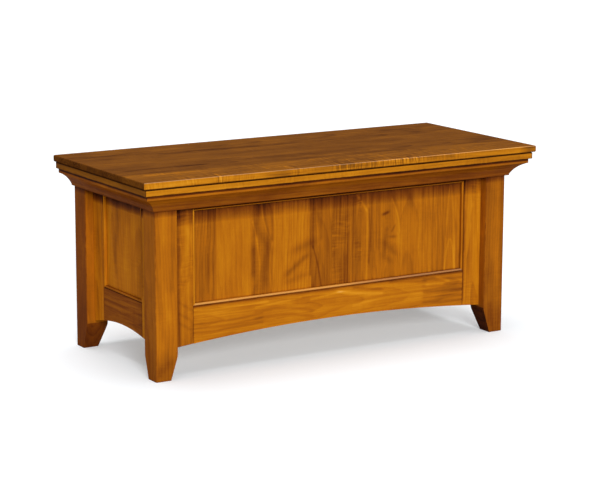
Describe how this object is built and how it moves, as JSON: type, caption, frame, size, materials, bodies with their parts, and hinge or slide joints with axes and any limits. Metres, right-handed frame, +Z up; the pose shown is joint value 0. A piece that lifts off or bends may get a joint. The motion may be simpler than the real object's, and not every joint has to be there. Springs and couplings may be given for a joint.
{
  "type": "blanket chest",
  "caption": "Free-standing lidded wooden chest: panelled walls between tapered posts, arched bottom rails, a cove crown and a lid hinged along the back.",
  "frame": {"origin": "on the floor, under the middle of the overall box (midway between the lid's front edge and the back of the hinge barrels)", "axes": "+X along the chest to the right as seen from the front, +Y to the back, +Z up"},
  "size_m": [1.22, 0.5386, 0.5315],
  "materials": {
    "frame_maple": "amber stain under satin lacquer",
    "panel_maple": "amber stain under satin lacquer, boards on end",
    "top_maple": "amber stain under satin lacquer",
    "inner_maple": "clear sealed, unstained",
    "hinge_metal": "antique bronze",
    "bumper_felt": "pressed felt"
  },
  "bodies": {
    "case": {"post_front_left": "frame_maple", "post_front_right": "frame_maple", "post_rear_left": "frame_maple", "post_rear_right": "frame_maple", "front_stile_left": "frame_maple", "front_stile_right": "frame_maple", "front_rail_bottom": "frame_maple", "front_rail_top": "frame_maple", "front_panel": "panel_maple", "front_bead_bottom": "frame_maple", "front_bead_left": "frame_maple", "front_bead_top": "frame_maple", "front_bead_right": "frame_maple", "left_stile_front": "frame_maple", "left_stile_rear": "frame_maple", "left_rail_bottom": "frame_maple", "left_rail_top": "frame_maple", "left_panel": "panel_maple", "left_bead_bottom": "frame_maple", "left_bead_front": "frame_maple", "left_bead_top": "frame_maple", "left_bead_rear": "frame_maple", "right_stile_front": "frame_maple", "right_stile_rear": "frame_maple", "right_rail_bottom": "frame_maple", "right_rail_top": "frame_maple", "right_panel": "panel_maple", "right_bead_bottom": "frame_maple", "right_bead_front": "frame_maple", "right_bead_top": "frame_maple", "right_bead_rear": "frame_maple", "back_stile_left": "frame_maple", "back_stile_right": "frame_maple", "back_rail_bottom": "frame_maple", "back_rail_top": "frame_maple", "back_panel": "panel_maple", "crown_front": "frame_maple", "crown_left": "frame_maple", "crown_right": "frame_maple", "rim_front": "top_maple", "rim_left": "top_maple", "rim_right": "top_maple", "rim_rear": "top_maple", "floor_panel": "inner_maple", "floor_cleat_front": "inner_maple", "floor_cleat_rear": "inner_maple", "bumper_left": "bumper_felt", "bumper_right": "bumper_felt", "hinge_left_case_leaf": "hinge_metal", "hinge_left_pin": "hinge_metal", "hinge_middle_case_leaf": "hinge_metal", "hinge_middle_pin": "hinge_metal", "hinge_right_case_leaf": "hinge_metal", "hinge_right_pin": "hinge_metal"},
    "lid": {"lid_panel": "top_maple", "lid_batten_left": "frame_maple", "lid_batten_right": "frame_maple", "hinge_left_lid_leaf": "hinge_metal", "hinge_middle_lid_leaf": "hinge_metal", "hinge_right_lid_leaf": "hinge_metal"}
  },
  "joints": [
    {"name": "lid_hinge", "type": "hinge", "parent": "case", "child": "lid", "pos_m": [0, 0.26275, 0.51275], "axis": [-1, 0, 0], "range_deg": [0, 95]}
  ]
}
